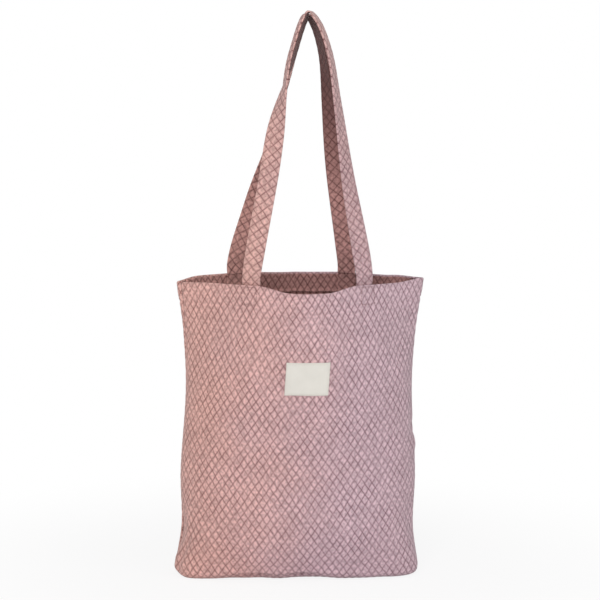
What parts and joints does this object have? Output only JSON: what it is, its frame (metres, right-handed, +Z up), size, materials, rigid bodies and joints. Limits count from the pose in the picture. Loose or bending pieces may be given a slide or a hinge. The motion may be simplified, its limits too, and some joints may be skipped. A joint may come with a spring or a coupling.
{
  "type": "fabric carry bag",
  "caption": "Soft open-topped fabric carry bag in dusty pink lattice cloth, with long narrow shoulder handles and a blank off-white sewn label.",
  "frame": {"origin": "centre of the bounding box in plan, on the surface the bag stands on", "axes": "+Z up from the base to the handles, +X to the right seen from the front with the label, +Y from the front to the back"},
  "size_m": [0.3262, 0.19, 0.7528],
  "materials": {
    "cloth": "matte, soft, printed with a fine lattice",
    "cloth_inside": "matte, the same cloth on the inside",
    "label": "tightly woven, matte",
    "thread": "sewing thread",
    "label_thread": "sewing thread"
  },
  "bodies": {
    "bag": {"front_panel": "cloth", "back_panel": "cloth", "front_hem": "cloth_inside", "back_hem": "cloth_inside", "left_side_seam": "cloth_inside", "right_side_seam": "cloth_inside", "bottom_seam": "cloth_inside", "front_left_handle_end": "cloth_inside", "front_right_handle_end": "cloth_inside", "back_left_handle_end": "cloth_inside", "back_right_handle_end": "cloth_inside", "front_left_box_stitching": "thread", "front_right_box_stitching": "thread", "back_left_box_stitching": "thread", "back_right_box_stitching": "thread", "front_hem_stitching": "thread", "back_hem_stitching": "thread", "woven_label": "label", "label_stitching": "label_thread"},
    "front_handle": {"front_handle": "cloth"},
    "back_handle": {"back_handle": "cloth"}
  },
  "joints": [
    {"name": "front_handle_hinge", "type": "hinge", "parent": "bag", "child": "front_handle", "pos_m": [0, -0.0633, 0.398], "axis": [0.9991, 0.0417, 0], "range_deg": [0, 170]},
    {"name": "back_handle_hinge", "type": "hinge", "parent": "bag", "child": "back_handle", "pos_m": [0, 0.0618, 0.4026], "axis": [-0.998, -0.0629, 0], "range_deg": [0, 170]}
  ]
}
